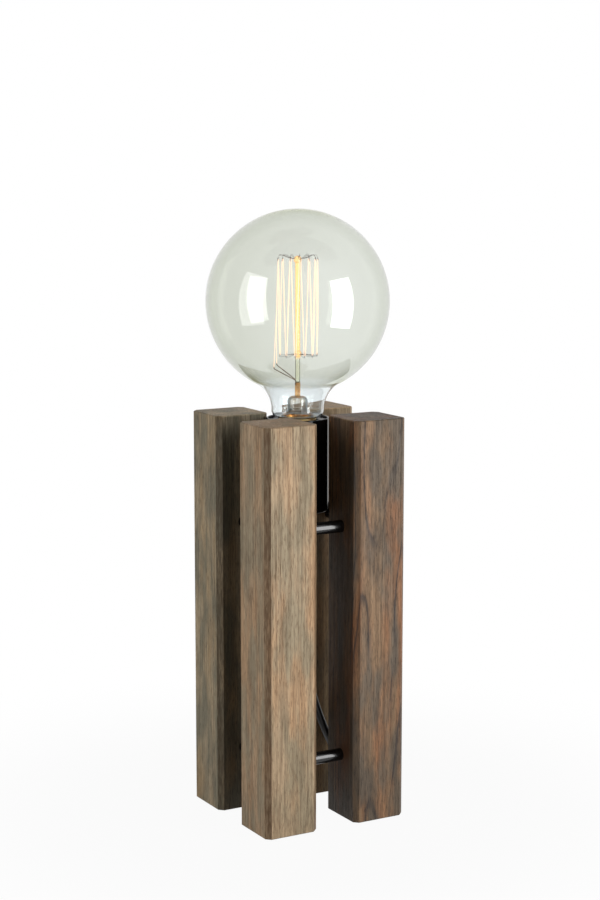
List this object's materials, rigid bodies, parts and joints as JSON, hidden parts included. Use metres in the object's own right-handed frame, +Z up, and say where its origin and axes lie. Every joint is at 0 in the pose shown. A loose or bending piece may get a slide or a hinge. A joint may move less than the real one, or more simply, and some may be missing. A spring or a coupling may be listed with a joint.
{
  "type": "table lamp",
  "caption": "Table lamp with a bare clear globe bulb in a black holder cup, carried between square oak posts that dark rods hold apart, with a switched cord and plug.",
  "frame": {"origin": "on the surface that the lamp stands on, on the axis of the bulb, in the middle of the square of posts", "axes": "+Z up; +X from the front post to the right post; +Y from the front post to the left post; the cord goes out at the +X side and lies behind the lamp"},
  "size_m": [0.1595, 0.2335, 0.4219],
  "materials": {
    "oak": "stained and waxed",
    "felt": "pressed felt",
    "black_rod": "satin black",
    "zinc_steel": "zinc plated",
    "gloss_black": "gloss black",
    "black_plastic": "gloss moulded",
    "ceramic": "glazed ceramic",
    "brass": "bright",
    "cap_seal": "glassy black",
    "solder": "dull solder",
    "clear_glass": "clear, faint amber",
    "stem_glass": "clear",
    "lead_wire": "drawn wire",
    "filament": "glowing wire",
    "brown_wire": "insulated",
    "blue_wire": "insulated",
    "cord_jacket": "smooth black jacket",
    "black_rubber": "moulded",
    "switch_plastic": "fine texture",
    "rocker_plastic": "gloss",
    "nickel": "nickel plated"
  },
  "bodies": {
    "lamp": {"front_post": "oak", "right_post": "oak", "back_post": "oak", "left_post": "oak", "front_felt_pad": "felt", "right_felt_pad": "felt", "back_felt_pad": "felt", "left_felt_pad": "felt", "lower_front_rod": "black_rod", "lower_right_rod": "black_rod", "lower_back_rod": "black_rod", "lower_left_rod": "black_rod", "upper_front_rod": "black_rod", "upper_right_rod": "black_rod", "upper_back_rod": "black_rod", "upper_left_rod": "black_rod", "holder_strap": "black_rod", "strap_screws": "zinc_steel", "threaded_nipple": "zinc_steel", "strap_nut": "zinc_steel", "holder_nut": "zinc_steel", "cord_grip_screw": "zinc_steel", "terminal_screws": "zinc_steel", "switch_screws": "zinc_steel", "rocker_pin": "zinc_steel", "holder_cup": "gloss_black", "holder_base": "black_plastic", "holder_sleeve": "black_plastic", "cord_grip": "black_plastic", "contact_block": "ceramic", "terminals": "brass", "screw_shell": "brass", "centre_contact": "brass", "switch_contacts": "brass", "switch_bridge": "brass", "live_wire": "brown_wire", "neutral_wire": "blue_wire", "lamp_cord": "cord_jacket", "switch_cord": "cord_jacket", "cord_coil": "cord_jacket", "plug_cord": "cord_jacket", "cord_tail": "cord_jacket", "cord_relief": "black_rubber", "plug_relief": "black_rubber", "switch_base": "switch_plastic", "switch_cover": "switch_plastic", "plug_body": "switch_plastic", "plug_pins": "nickel"},
    "bulb_end": {"bulb_tip": "solder"},
    "bulb": {"bulb_glass": "clear_glass", "bulb_cap": "brass", "cap_insulator": "cap_seal", "bulb_stem": "stem_glass", "glass_rod": "stem_glass", "upper_hooks": "lead_wire", "lower_hooks": "lead_wire", "filament": "filament", "first_lead": "lead_wire", "second_lead": "lead_wire"},
    "rocker": {"switch_rocker": "rocker_plastic"}
  },
  "joints": [
    {"name": "bulb_lift", "type": "slide", "parent": "lamp", "child": "bulb_end", "axis": [0, 0, 1], "range_m": [0, 0.0218]},
    {"name": "bulb_turn", "type": "hinge", "parent": "bulb_end", "child": "bulb", "pos_m": [0, 0, 0.265], "axis": [0, 0, 1], "range_deg": [0, 2160]},
    {"name": "rocker_tip", "type": "hinge", "parent": "lamp", "child": "rocker", "pos_m": [0.084, 0.068, 0.0122], "axis": [-1, 0, 0], "range_deg": [0, 16]}
  ],
  "couplings": [
    {"joint": "bulb_lift", "follows": "bulb_turn", "m_per_rad": 0.00057757}
  ]
}
